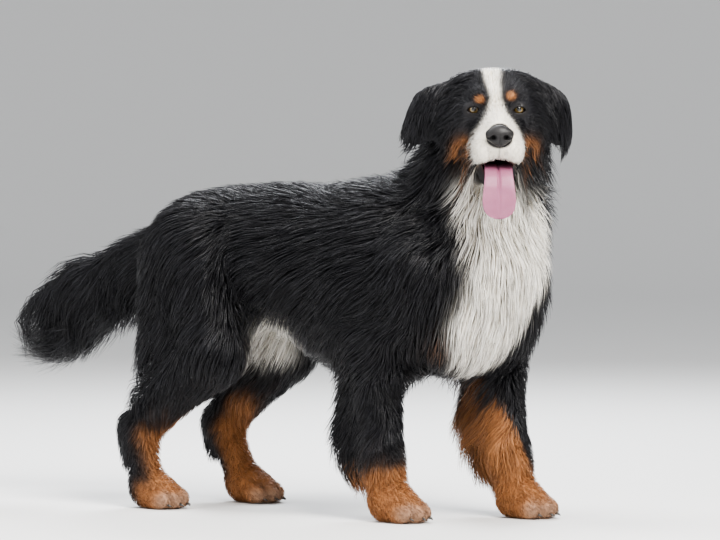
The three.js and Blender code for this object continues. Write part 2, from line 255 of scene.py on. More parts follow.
def coat_mass():
    """Flesh and coat, out to the tips of the hair, as in the CAD"""
    trunk = blend(
        60,
        egg((60, 0, 472), (262, 184, 216)),
        egg((-175, 0, 512), (258, 166, 160)),
        limb((-130, 0, 405), (40, 0, 345), 60, 82),
        egg((-335, 0, 530), (150, 156, 122)),
        *both(lambda s: egg((258, 60 * s, 462), (138, 126, 186))),
    )
    neck = blend(
        60,
        limb(WITHERS, SKULL_BASE, 128, 104),
        limb((318, -38, 690), (318, -30, 500), 94, 122),
        egg((333, 44, 645), (92, 108, 130)),
    )
    tail = blend(
        40,
        limb(TAIL_ROOT, (-560, 0, 490), 46, 66, (1, 0.8, 1)),
        limb((-575, 0, 440), TAIL_BEND, 104, 98, PLUME),
        limb(TAIL_BEND, TAIL_END, 98, 76, PLUME),
        limb((-720, 0, 350), (-795, 0, 300), 62, 50, PLUME),
    )
    parts = [trunk, neck, tail]
    for side in SIDES:
        x, y, _ = FORE[side]["wrist"]
        fringe = (x - 106, y, 92) if side == "left" else (x - 66, y, 104)
        behind = (
            limb((x - 62, y, 330), (x - 104, y, 158), 58, 40, FEATHER),
            limb((x - 104, y, 158), fringe, 38, 20, FEATHER),
        )
        upper = (106, 84 if side == "left" else 76)
        parts.append(foreleg(side, 34, 0, (upper, (64, 45), (43, 40)), *behind))
        hip, stifle, hock, toe = HIND[side].values()
        x, y, _ = hock
        parts.append(
            blend(
                34,
                limb(hip, stifle, 118, 80, (1, 0.88, 1)),
                limb((-412, hip[1], 500), (x + 32, y, 262), 78, 52, (1, 0.9, 1)),
                limb(stifle, hock, 74, 40),
                limb(hock, (toe - 22, y, 52), 39, 37),
                limb((x - 34, y, 168), (x - 40, y, 92), 28, 17, FEATHER),
                paw(toe + 4, y, 0),
            )
        )
    head = blend(
        22,
        egg((-64, 0, 10), (84, 82, 70)),
        *both(lambda s: egg((-10, 27 * s, 26), (30, 30, 26))),
        *both(lambda s: egg((-46, 60 * s, -38), (60, 40, 52))),
        limb((-60, 0, -40), (-110, 0, -60), 74, 90),
        limb((0, 0, -44), (74, 0, -60), 50, 36),
        limb((18, 0, -18), (90, 0, -36), 24, 20),
        *both(lambda s: egg((58, 30 * s, -78), (48, 23, 32))),
        limb((-40, 0, -88), (20, 0, -122), 60, 37),
        limb((20, 0, -122), (64, 0, -144), 35, 20),
    )
    parts.append(placed(head, HEAD_AXES, EYE_LINE))
    parts.extend(ear(side, *EAR_COAT) for side in SIDES)
    return blend(44, *parts)


def ear(side, radii, thickness):
    """An ear flap, hanging in a frame of its own whose Y runs through its thickness"""
    s = SIDES[side]
    tip = EAR_SPREAD[side] * s
    bend = (tip * EAR_BEND[0], 0, EAR_BEND[1])
    flat = (1, thickness, 1)
    flap = blend(
        20 if thickness > 0.3 else 9,
        limb((0, 0, 0), bend, radii[0], radii[1], flat),
        limb(bend, (tip, 0, EAR_HANG), radii[1], radii[2], flat),
    )
    forward, out, up = EAR_ROOT
    in_head = placed(flap, axes_of(math.pi / 2 + s * EAR_FACING), (forward, out * s, up))
    return placed(in_head, HEAD_AXES, EYE_LINE)


# The open mouth, in the head's frame
MOUTH = limb((-6, 0, -93), (104, 0, -127), 8, 24, (1, 1.9, 1))


def head_flesh():
    """The bare head in its own frame, with its lids, eye slits and open mouth"""
    skull = blend(
        20,
        egg((-64, 0, 10), (78, 75, 63)),
        *both(lambda s: egg((-12, 27 * s, 25), (27, 25, 21))),
        *both(lambda s: egg((-46, 58 * s, -38), (54, 34, 46))),
        *both(lambda s: egg((-26, 45 * s, -2), (30, 26, 26))),
        limb((-60, 0, -40), (-110, 0, -60), 64, 76),
    )
    muzzle = blend(
        12,
        limb((0, 0, -44), (76, 0, -60), 46, 33),
        limb((18, 0, -18), (92, 0, -36), 21, 18),
        *both(lambda s: egg((58, 29 * s, -77), (46, 20, 29))),
    )
    jaw = blend(
        16,
        limb((-40, 0, -88), (20, 0, -122), 52, 33),
        limb((20, 0, -122), (64, 0, -143), 31, 17),
    )
    lids = both(lambda s: egg((EYE_PLACE[0], 43.5 * s, 0), (15.0, 19, 15)))
    balls = both(lambda s: egg((EYE_PLACE[0], EYE_PLACE[1] * s, 0), (EYE_RADIUS + 0.4,) * 3))
    slits = both(lambda s: egg((9, 44.5 * s, -2.2), (15, 12.0, 5.6)))
    whole = blend(18, skull, muzzle, jaw)
    return carve(blend(7, whole, *lids), MOUTH, *balls, *slits)


def flesh_mass():
    """The dog without its coat"""
    parts = [
        egg((60, 0, 482), (244, 142, 176)),
        egg((-175, 0, 522), (236, 122, 126)),
        egg((-330, 0, 540), (126, 118, 98)),
        *both(lambda s: egg((246, 48 * s, 470), (104, 88, 146))),
        limb(WITHERS, SKULL_BASE, 86, 74),
        limb((306, -32, 690), (290, -20, 500), 58, 86),
        limb(TAIL_ROOT, (-560, 0, 495), 36, 32),
        limb((-560, 0, 495), (-690, 0, 440), 32, 26),
        limb((-690, 0, 440), (-800, 0, 376), 26, 15),
    ]
    for side in SIDES:
        parts.append(foreleg(side, 26, 5, ((80, 50), (46, 33), (33, 31))))
        hip, stifle, hock, toe = HIND[side].values()
        x, y, _ = hock
        parts.append(
            blend(
                26,
                limb(hip, stifle, 92, 58, (1, 0.86, 1)),
                limb((-405, hip[1], 500), (-400, y, 330), 52, 34),
                limb(stifle, hock, 54, 28),
                limb((x - 8, y, 172), (toe - 22, y, 52), 26, 29),
                paw(toe + 4, y, 5),
            )
        )
    parts.append(placed(head_flesh(), HEAD_AXES, EYE_LINE))
    parts.extend(ear(side, *EAR_FLESH) for side in SIDES)
    return blend(30, *parts)


COAT = coat_mass()
FLESH = flesh_mass()


def slope_of(mass, places):
    """The distance at each place and the direction in which it grows"""
    reach = 0.6
    here = mass.distance(places)
    slope = np.empty_like(places)
    for axis in range(3):
        moved = places.copy()
        moved[:, axis] += reach
        slope[:, axis] = (mass.distance(moved) - here) / reach
    return here, slope


def settle(mass, places, most, rounds=2):
    """Moves places onto the surface of a mass"""
    for _ in range(rounds):
        here, slope = slope_of(mass, places)
        step = here[:, None] * slope / (np.sum(slope**2, axis=1)[:, None] + 1e-6)
        places = places - np.clip(step, -most, most)
    return places


def unit(vectors):
    return vectors / (np.linalg.norm(vectors, axis=1)[:, None] + 1e-9)


def stations(low, high, fine_low, fine_high, coarse, fine):
    """Places along one axis of the grid, closer together where the head is"""
    before = np.arange(low, fine_low, coarse)
    inside = np.arange(fine_low, fine_high, fine)
    after = np.arange(fine_high, high, coarse)
    return np.concatenate((before, inside, after))


BLOCKS = 12  # the grid is worked out in blocks, to save memory


def surface_net(mass, axes):
    """The surface of a mass as vertices and quads: one vertex in each cell that it passes through"""
    grid = np.stack(np.meshgrid(*axes, indexing="ij"), axis=-1).reshape(-1, 3)
    values = np.concatenate([mass.distance(block) for block in np.array_split(grid, BLOCKS)])
    values = values.reshape([len(axis) for axis in axes])
    inside = values < 0
    corners = list(product((0, 1), repeat=3))
    size = [n - 1 for n in inside.shape]
    count = np.zeros(size, np.int8)
    for i, j, k in corners:
        count += inside[i : i + size[0], j : j + size[1], k : k + size[2]]
    cells = np.argwhere((count > 0) & (count < 8))
    total = np.zeros((len(cells), 3))
    hits = np.zeros(len(cells))
    for start in corners:
        for axis in range(3):
            if start[axis] == 1:
                continue
            a = cells + start
            b = a.copy()
            b[:, axis] += 1
            value_a = values[tuple(a.T)]
            value_b = values[tuple(b.T)]
            crossed = (value_a < 0) != (value_b < 0)
            share = np.where(crossed, value_a / np.where(crossed, value_a - value_b, 1), 0)
            place_a = np.stack([axes[d][a[:, d]] for d in range(3)], axis=1)
            place_b = np.stack([axes[d][b[:, d]] for d in range(3)], axis=1)
            total += np.where(crossed[:, None], place_a + (place_b - place_a) * share[:, None], 0)
            hits += crossed
    vertices = total / hits[:, None]
    vertex_of = np.full(size, -1, np.int64)
    vertex_of[tuple(cells.T)] = np.arange(len(cells))
    quads = []
    for axis in range(3):
        ahead = np.roll(inside, -1, axis=axis)
        crossed = inside != ahead
        end = [slice(None)] * 3
        end[axis] = -1
        crossed[tuple(end)] = False
        for other in range(3):
            if other != axis:
                rim = [slice(None)] * 3
                rim[other] = [0, -1]
                crossed[tuple(rim)] = False
        edges = np.argwhere(crossed)
        p = np.eye(3, dtype=int)[(axis + 1) % 3]
        q = np.eye(3, dtype=int)[(axis + 2) % 3]
        ring = [edges - p - q, edges - q, edges, edges - p]
        found = np.stack([vertex_of[tuple(cell.T)] for cell in ring], axis=1)
        outward = inside[tuple(edges.T)]
        quads.append(np.where(outward[:, None], found, found[:, ::-1]))
    return vertices, np.concatenate(quads)


# Markings: white, rust and black, told by formulas of place. soft is the width of an edge.
def edge(value, soft):
    """One where value is well below nought, nought where it is well above"""
    return 1 / (1 + np.exp(np.clip(value / soft, -30, 30)))


def steps(value, *pairs):
    """A value read between named stations"""
    at, found = zip(*pairs)
    return np.interp(value, at, found)


RAGGED_SIZE = 23


def ragged(places):
    """A slow wander that keeps the edges of the markings from being straight"""
    x, y, z = places.T / RAGGED_SIZE
    slow = np.sin(x * 1.7 + y * 2.3) + np.sin(z * 2.1 - x * 1.1 + 1.3)
    return slow * 0.5 + np.sin(y * 3.1 + z * 1.3) * 0.35


def spot(places, middle, radii, soft=0.14):
    """One inside an egg, nought outside it"""
    away = np.linalg.norm((places - np.asarray(middle, float)) / radii, axis=1)
    return edge(away - 1, soft)


# Places on the head are forward, left and up from the eye line.
# The blaze by height: its half width, its middle, and how far back it reaches
BLAZE_HALF = (
    (-170, 48),
    (-128, 40),
    (-112, 50),
    (-70, 55),
    (-45, 47),
    (-25, 33),
    (-5, 19),
    (22, 9.5),
    (45, 13),
    (76, 17),
)
BLAZE_MIDDLE = ((-5, 0), (22, -2), (45, -5), (76, -8))
BLAZE_BACK = ((0, 20), (60, 50), (90, 64))
BROWS = (((8, -33, 19), (26, 9, 8)), ((8, 28, 26), (26, 9.5, 8.5)))
CHEEKS = (((2, 63, -92), (44, 30, 33)), ((2, -63, -92), (44, 30, 33)))

# The bare lips, out and up from the eye line, from the corner of the mouth down to the chin
LIP_CORNER = (68, -80)
LIP_END = (33, -142)
LIP_HALF = 7

# The bib by height: how far back it starts, and its left and right ends
BIB_BACK = ((250, 262), (300, 284), (385, 290), (440, 316), (490, 342), (565, 316), (640, 282), (720, 262))
BIB_LEFT = (
    (246, -36),
    (262, -26),
    (300, -8),
    (385, 26),
    (440, 22),
    (490, 44),
    (540, 92),
    (590, 74),
    (640, 24),
    (720, 0),
)
BIB_RIGHT = ((246, -112), (300, -114), (340, -150), (385, -184), (640, -200))
BESIDE_BIB = ((300, -158, 335), (60, 30, 34))

# How high the rust reaches on each foreleg, how much lower it ends outside, and where outside starts
FORE_RUST = {"right": (140, 34, 8), "left": (218, 124, -16)}


def lip_mask(head):
    """Where the bare black lips run, from the corners of the mouth down both sides of the tongue"""
    f, l, u = head.T
    side = np.abs(l)
    run = np.array(LIP_END, float) - LIP_CORNER
    off = np.stack((side, u), axis=1) - LIP_CORNER
    along = np.clip(off @ run / (run @ run), 0, 1)
    away = np.linalg.norm(off - along[:, None] * run, axis=1)
    band = edge(away - LIP_HALF - 2 * along, 1.2) * edge(-f - 38, 5)
    line = steps(u, (LIP_END[1], LIP_END[0]), (LIP_CORNER[1], LIP_CORNER[0]))
    within = edge(side - line, 2) * edge(u + 106, 2) * edge(-u - 150, 2) * edge(24 - f, 4)
    return np.clip(np.maximum(band, within), 0, 1)


def head_markings(head, wander):
    """White and rust on the head, and where neither is: the lips and the furrow below the nose"""
    f, l, u = head.T
    aside = np.abs(l - steps(u, *BLAZE_MIDDLE))
    blaze = edge(aside - steps(u, *BLAZE_HALF) - wander, 1.6) * edge(-f - steps(u, *BLAZE_BACK), 6)
    blaze *= np.where(u < -30, edge(12 - f + wander * 4, 3), 1) * edge(-u - 110, 2)
    throat = edge(np.abs(l + 16) - 60, 6) * edge(u + 140, 5) * edge(-f - 60, 8)
    brow = sum(spot(head, *place) for place in BROWS)
    cheek = sum(spot(head, *place) for place in CHEEKS) * edge(f - 34, 4)
    lips = lip_mask(head)
    furrow = 0.55 * np.exp(-((l / 1.7) ** 2)) * edge(np.abs(u + 84) - 15, 2) * edge(80 - f, 4)
    return np.maximum(blaze, throat), np.maximum(brow, cheek) * (1 - lips), np.maximum(lips, furrow)


def white_below(places, wander):
    """The white bib and groin"""
    x, y, z = places.T
    bib = edge(steps(z, *BIB_BACK) - x + wander * 6, 6) * edge(y - steps(z, *BIB_LEFT) - wander * 8, 5)
    bib *= edge(steps(z, *BIB_RIGHT) - y + wander * 6, 5) * edge(238 - z, 5) * edge(z - 745, 10)
    groin = edge(np.abs(y) - 74 - wander * 5, 6) * edge(z - 415, 8)
    groin *= edge(np.abs(x + 215) - 92, 10) * edge(300 - z, 8)
    return np.maximum(bib, groin)


def leg_markings(side, places, wander):
    """Rust on one side's legs and the paler ends of their toes"""
    s = SIDES[side]
    x, y, z = places.T
    near = edge(-s * y + 25, 6)
    wx, wy, _ = FORE[side]["wrist"]
    highest, lower, outside = FORE_RUST[side]
    outer = edge(outside - s * (y - wy), 6)
    if side == "right":
        outer = np.maximum(outer, edge(wx + 14 - x, 8))
    fore = near * edge(z - highest + lower * outer - wander * 9, 6) * edge(np.abs(x - wx - 20) - 105, 6)
    if side == "left":
        fringe = near * edge(x - wx + 52, 6) * edge(z - 250 - wander * 14, 9) * edge(wx - 170 - x, 6)
        fore = np.maximum(fore, fringe * edge(s * (y - wy) - 6, 8))
    hx, hy, _ = HIND[side]["hock"]
    shin = hx + steps(z, (40, 34), (100, 14), (150, 0), (215, 40), (330, 120))
    inner = edge(s * (y - hy) + 10, 6)
    hind = near * edge(z - 168 - 50 * inner - wander * 10, 8) * edge(shin + 15 - 14 * inner - x, 6)
    foot = near * edge(z - 54, 6) * edge(np.abs(x - hx - 60) - 130, 8) * edge(hx + 16 - x, 8)
    hind = np.maximum(hind, foot) * edge(x + 170, 6)
    toes = near * edge(z - 34 - wander * 5, 4)
    fore_tip = edge(wx + 62 - x, 6) * (x > 60)
    hind_tip = edge(HIND[side]["toe"] + 34 - x, 6) * (x < 0)
    return np.maximum(fore, hind), toes * np.maximum(fore_tip, hind_tip) * 0.14


def markings(places):
    """How white and how rust the hair is at each place, each from 0 to 1"""
    head = to_head(places)
    x, y, z = places.T
    wander = ragged(places)
    from_skull = np.linalg.norm(head - (-20, 0, -40), axis=1)
    on_head = edge(from_skull - 158, 6) * edge(-head[:, 2] - 175, 6)
    head_white, head_rust, head_black = head_markings(head, wander)
    white = on_head * head_white + (1 - on_head) * white_below(places, wander)
    white *= 1 - on_head * head_black
    rust = on_head * head_rust
    for side in SIDES:
        leg_rust, leg_white = leg_markings(side, places, wander)
        rust = np.maximum(rust, leg_rust)
        white = np.maximum(white, leg_white)
    thigh_edge = edge(np.abs(np.abs(y) - 84) - 16, 6) * edge(z - 366, 8)
    thigh_edge *= edge(np.abs(x + 330) - 70, 14) * edge(306 - z, 6)
    rust = np.maximum(rust, thigh_edge * 0.8)
    beside_bib = spot(places, *BESIDE_BIB)
    rust = np.maximum(rust, beside_bib * 0.85)
    white = np.where(beside_bib > 0.5, white * 0.1, white)
    return np.clip(white, 0, 1), np.clip(rust * (1 - white), 0, 1)


# Mesh helpers
def reshape(obj, change):
    """Moves an object's vertices by a formula of their places"""
    mesh = obj.data
    places = np.empty(len(mesh.vertices) * 3)
    mesh.vertices.foreach_get("co", places)
    moved = change(places.reshape(-1, 3))
    mesh.vertices.foreach_set("co", np.ascontiguousarray(moved).ravel())
    mesh.update()


def declare(obj, material, slot, *nodes):
    """Puts a piece into the row frame's metres, gives it its material and body, and hides the CAD parts of
    its nodes; its slot is not used
    """
    reshape(obj, lambda places: places / 1000 + SHIFT)
    obj.data.materials.append(material)
    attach(obj, BODY)
    if nodes:
        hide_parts(*nodes)


def new_mesh(name, vertices, faces, sides):
    """A mesh object from arrays, its faces all with the same number of sides"""
    mesh = bpy.data.meshes.new(name)
    mesh.vertices.add(len(vertices))
    mesh.vertices.foreach_set("co", np.ascontiguousarray(vertices, np.float32).ravel())
    mesh.loops.add(faces.size)
    mesh.loops.foreach_set("vertex_index", np.ascontiguousarray(faces, np.int32).ravel())
    mesh.polygons.add(len(faces))
    mesh.polygons.foreach_set("loop_start", np.arange(0, faces.size, sides, dtype=np.int32))
    mesh.polygons.foreach_set("use_smooth", np.ones(len(faces), bool))
    mesh.update(calc_edges=True)
    obj = bpy.data.objects.new(name, mesh)
    bpy.context.scene.collection.objects.link(obj)
    return obj


def store(obj, name, values):
    """Stores a number, or a colour with its alpha, for each vertex, for the materials to read"""
    values = np.ascontiguousarray(values, np.float32)
    kind, field = ("FLOAT", "value") if values.ndim == 1 else ("FLOAT_COLOR", "color")
    stored = obj.data.attributes.new(name, kind, "POINT")
    stored.data.foreach_set(field, values.ravel())


def primitive(name, add, **sizes):
    """A new smooth primitive, with nothing else selected"""
    bpy.ops.object.select_all(action="DESELECT")
    add(**sizes)
    obj = bpy.context.active_object
    obj.name = name
    obj.data.name = name
    bpy.ops.object.shade_smooth()
    return obj


# Materials
class Value:
    """A socket that can be reckoned with: each sum adds its Math node"""

    def __init__(self, tree, socket):
        self.tree = tree
        self.socket = socket

    def math(self, kind, *others):
        node = self.tree.nodes.new("ShaderNodeMath")
        node.operation = kind
        for slot, value in zip(node.inputs, (self, *others)):
            plug(self.tree, slot, value)
        return Value(self.tree, node.outputs[0])

    def __add__(self, other):
        return self.math("ADD", other)

    def __mul__(self, other):
        return self.math("MULTIPLY", other)

    def __sub__(self, other):
        return self.math("SUBTRACT", other)

    def __rsub__(self, other):
        return (self * -1.0) + other

    __radd__ = __add__
    __rmul__ = __mul__

    def clamp(self):
        return self.math("MAXIMUM", 0.0).math("MINIMUM", 1.0)

    def blend(self, dark, light):
        """A colour between two, by this value"""
        node = self.tree.nodes.new("ShaderNodeMix")
        node.data_type = "RGBA"
        plug(self.tree, node.inputs["Factor"], self)
        plug(self.tree, node.inputs[6], dark)
        plug(self.tree, node.inputs[7], light)
        return Value(self.tree, node.outputs[2])


def plug(tree, slot, value):
    """Links a socket to a value, or sets it to a constant"""
    if isinstance(value, Value):
        tree.links.new(value.socket, slot)
    elif isinstance(value, tuple) and len(value) == 3 and slot.type == "RGBA":
        slot.default_value = (*value, 1.0)
    else:
        slot.default_value = value


def make_node(tree, kind, output, settings=None, **inputs):
    """Any other node: its type, the output wanted, its settings and the values of its sockets"""
    node = tree.nodes.new(kind)
    for name, value in (settings or {}).items():
        setattr(node, name, value)
    for name, value in inputs.items():
        plug(tree, node.inputs[name.replace("_", " ")], value)
    return Value(tree, node.outputs[output])


def attribute(tree, name, output="Fac"):
    """A value stored on the mesh"""
    return make_node(tree, "ShaderNodeAttribute", output, {"attribute_name": name})


def place_on(tree):
    """The place on the piece, in metres"""
    return make_node(tree, "ShaderNodeTexCoord", "Object")


def noise(tree, scale, detail):
    return make_node(tree, "ShaderNodeTexNoise", "Fac", Vector=place_on(tree), Scale=scale, Detail=detail)


def bump(tree, height, strength, distance):
    """A bump for the normal, its distance in metres"""
    sizes = {"Strength": strength, "Distance": distance}
    return make_node(tree, "ShaderNodeBump", "Normal", Height=height, **sizes)


def feed(material, **inputs):
    """Plugs values into the sockets of a material's shader"""
    shader = material.node_tree.nodes["Principled BSDF"]
    for key, value in inputs.items():
        plug(material.node_tree, shader.inputs[key.replace("_", " ")], value)


def new_material(name, **constants):
    """A material and its tree, with the shader's constant values set"""
    material = bpy.data.materials.new(name)
    material.use_nodes = True
    feed(material, **constants)
    return material, material.node_tree


BLACK = (0.0048, 0.0045, 0.0054)
BLACK_SHEEN = (0.017, 0.017, 0.021)
WHITE = (0.92, 0.895, 0.84)
WHITE_SHADE = (0.68, 0.6, 0.46)
RUST = (0.46, 0.21, 0.085)
RUST_SHADE = (0.17, 0.066, 0.025)
BARE_BLACK = (0.012, 0.011, 0.012)
MOUTH_DARK = (0.045, 0.014, 0.014)


def coat_material(name, is_hair):
    """Tricolour hair: the markings come from each vertex's tone, and so does the skin's"""
    material, tree = new_material(name, Specular_IOR_Level=0.42 if is_hair else 0.25)
    tone = attribute(tree, "tone", "Color")
    parts = ("Red", "Green", "Blue")
    white, rust, shade = (make_node(tree, "ShaderNodeSeparateColor", part, Color=tone) for part in parts)
    along = attribute(tree, "tone", "Alpha")
    fine = noise(tree, 24.0, 3.0)
    varied = (shade * 0.75 + fine * 0.5).clamp()
    black = varied.blend(BLACK, BLACK_SHEEN)
    brown = varied.blend(RUST_SHADE, RUST)
    # The white grows lighter towards each tuft's tip: WHITE_SHADE towards the root is painted shade deep
    # in the coat.
    pale = (varied + along * 0.45).clamp().blend(WHITE_SHADE, WHITE)
    mixed = white.blend(rust.blend(black, brown), pale)
    if not is_hair:
        bare = attribute(tree, "bare")
        mixed = bare.blend(mixed, BARE_BLACK)
        inside = attribute(tree, "inside")
        mixed = inside.blend(mixed, MOUTH_DARK)
        grain = bump(tree, noise(tree, 420.0, 4.0), 0.35, 0.001)
        feed(material, Roughness=0.62 - bare * 0.17 - inside * 0.2, Normal=grain)
    else:
        feed(material, Roughness=0.3 + white * 0.24 + rust * 0.16 + shade * 0.08)
    feed(material, Base_Color=mixed)
    return material


COAT_MATERIAL = coat_material("coat_hair", True)
SKIN_MATERIAL = coat_material("coat_skin", False)


# The skin: one mesh for all the flesh, with a finer grid round the head
SKIN_GRID = ((-835, 520, 290, 492), (-250, 240, -232, 22), (-30, 925, 655, 892))
SKIN_CELLS = (9.5, 2.9)
SKIN_SHADE = 0.35


def smooth_fall(distance, reach):
    """One at no distance, down to nought at reach"""
    return np.clip(1 - distance / reach, 0, 1)


def bareness(vertices):
    """Where the skin is bare and black: lips, lids, eye sockets and the ring round the nose"""
    head = to_head(vertices)
    lips = smooth_fall(MOUTH.distance(head), steps(head[:, 2], (-118, 17.0), (-104, 9.5)))
    lids = [np.linalg.norm((head - (8, 44 * s, -2)) / (1, 1.1, 0.8), axis=1) - 15.5 for s in (1, -1)]
    rims = np.max([smooth_fall(lid, 4.5) for lid in lids], axis=0)
    nose_ring = smooth_fall(egg(NOSE_PLACE, (20, 29, 23)).distance(head), 3)
    eyes = [np.linalg.norm(head - (EYE_PLACE[0], EYE_PLACE[1] * s, 0), axis=1) for s in (1, -1)]
    sockets = smooth_fall(np.minimum(*eyes) - 15, 2)
    bare = np.max((lips * 1.4, rims * 1.6, sockets, nose_ring, lip_mask(head)), axis=0)
    return np.clip(bare * (head[:, 0] > -60), 0, 1)


def make_skin():
    """The skin with its markings and its unwrap, and what the coat needs of it"""
    coarse, fine = SKIN_CELLS
    axes = [stations(*ends, coarse, fine) for ends in SKIN_GRID]
    vertices, quads = surface_net(FLESH, axes)
    vertices = settle(FLESH, vertices, fine * 0.7)
    vertices[:, 2] = np.maximum(vertices[:, 2], 0)
    used, quads = np.unique(quads, return_inverse=True)
    quads = quads.reshape(-1, 4)
    vertices = vertices[used]
    skin = new_mesh("skin", vertices, quads, 4)
    white, rust = markings(vertices)
    head = to_head(vertices)
    in_mouth = np.exp(-np.clip(MOUTH.distance(head), 0, None) / 2.6) * (head[:, 0] > -25)
    bare = bareness(vertices)
    shade = np.full(len(vertices), SKIN_SHADE)
    store(skin, "tone", np.stack((white, rust, shade, np.zeros(len(vertices))), axis=1))
    store(skin, "bare", bare)
    store(skin, "inside", in_mouth)
    bpy.ops.object.select_all(action="DESELECT")
    bpy.context.view_layer.objects.active = skin
    skin.select_set(True)
    bpy.ops.object.mode_set(mode="EDIT")
    bpy.ops.mesh.select_all(action="SELECT")
    bpy.ops.uv.smart_project(angle_limit=math.radians(66), island_margin=0.002)
    bpy.ops.object.mode_set(mode="OBJECT")
    skin.data.uv_layers[0].name = "OFBake"
    return skin, vertices, quads, bare


skin, skin_places, skin_quads, skin_bare = make_skin()

# The coat, told by stations: a place, the way the hair lies there, and the tufts' length along the
# skin, half width and spacing. Body and head stations are mirrored to the other side.
BODY_LIE = [
    # Neck and back
    ((330, -60, 800), (-0.5, 0.1, -1), 46, 1.4, 4.2),
    ((230, 0, 720), (-1, 0, -0.5), 60, 1.5, 4.5),
    ((240, 100, 690), (-0.5, 0.1, -1), 66, 1.6, 4.6),
    ((140, 0, 665), (-1, 0, -0.12), 66, 1.6, 4.8),
    ((-80, 0, 655), (-1, 0, 0.02), 62, 1.6, 4.8),
    ((-300, 0, 640), (-1, 0, -0.12), 62, 1.6, 4.8),
    ((-440, 0, 590), (-1, 0, -0.7), 70, 1.6, 4.8),
    # Shoulder, side and belly
    ((300, 110, 640), (-0.25, 0.05, -1), 72, 1.6, 4.6),
    ((200, 140, 560), (-0.5, 0.05, -1), 74, 1.6, 4.8),
    ((60, 140, 540), (-1, 0, -0.5), 74, 1.6, 5.0),
    ((60, 125, 390), (-0.9, 0, -0.8), 78, 1.6, 5.0),
    ((-150, 120, 540), (-1, 0, -0.4), 74, 1.6, 5.0),
    ((-160, 90, 420), (-0.9, 0, -0.7), 72, 1.6, 5.0),
    ((0, 20, 310), (-0.8, 0, -0.8), 74, 1.6, 5.0),
    ((-200, 20, 390), (-0.5, 0, -1), 66, 1.5, 4.9),
    # Hips and breeches
    ((-300, 120, 580), (-0.8, 0, -0.8), 72, 1.6, 4.9),
    ((-280, 140, 430), (-0.35, 0, -1), 68, 1.6, 4.8),
    ((-420, 100, 460), (-0.6, 0.1, -1), 92, 1.6, 4.7),
    ((-420, 100, 330), (-0.45, 0, -1), 86, 1.5, 4.5),
    # Chest
    ((370, 0, 640), (0.1, 0, -1), 84, 1.5, 4.4),
    ((380, 0, 500), (0.0, 0.0, -1), 88, 1.5, 4.4),
    ((345, 80, 420), (-0.15, 0.1, -1), 84, 1.6, 4.6),
    ((310, 20, 335), (-0.4, 0, -1), 74, 1.6, 4.6),
    # Tail
    ((-520, 0, 500), (-1, 0, -0.7), 110, 1.6, 4.0),
    ((-640, 0, 450), (-0.9, 0, -1), 165, 1.7, 2.9),
    ((-740, 0, 405), (-0.8, 0, -1), 165, 1.7, 2.7),
    ((-800, 0, 380), (-1, 0, -0.75), 130, 1.6, 2.5),
]
HEAD_LIE = [
    # From the nose over the forehead to the nape
    ((98, 0, -28), (-1, 0, 0.25), 6, 0.62, 2.3),
    ((60, 0, -16), (-1, 0, 0.25), 7, 0.65, 2.4),
    ((18, 0, 4), (-0.5, 0, 1), 9, 0.7, 2.5),
    ((-8, 0, 56), (-0.7, 0, 0.8), 13, 0.8, 2.7),
    ((-60, 0, 74), (-1, 0, 0), 20, 0.95, 3.0),
    ((-130, 0, 46), (-0.7, 0, -0.8), 38, 1.2, 3.8),
    # Muzzle and cheek
    ((62, 48, -66), (-1, 0.1, -0.3), 8, 0.65, 2.4),
    ((100, 16, -84), (-0.3, 0.4, -1), 5, 0.55, 2.3),
    ((52, 48, -98), (-0.7, 0.1, -0.7), 9, 0.65, 2.4),
    ((18, 58, -66), (-1, 0.3, -0.3), 12, 0.75, 2.5),
    ((-40, 88, -36), (-0.8, 0.1, -0.8), 26, 1.1, 3.2),
    ((-40, 62, -92), (-0.6, 0.1, -1), 34, 1.2, 3.4),
    # Round the eye, and the temple
    ((8, 44, -24), (-0.7, 0.5, -0.4), 8, 0.62, 2.3),
    ((8, 40, 24), (-0.5, 0.5, 0.7), 8, 0.62, 2.3),
    ((-46, 72, 34), (-0.7, 0.3, -0.6), 20, 1.0, 3.0),
    # Chin and throat
    ((58, 20, -156), (-0.7, 0, -0.7), 14, 0.8, 2.6),
    ((10, 20, -158), (-0.5, 0, -1), 34, 1.2, 3.4),
    # Ear
    ((-56, 92, 30), (-0.2, 0.4, -1), 28, 1.1, 3.0),
    ((-58, 116, 0), (-0.05, 0.3, -1), 38, 1.15, 3.0),
    ((-66, 142, -52), (0, 0.05, -1), 46, 1.15, 2.7),
]


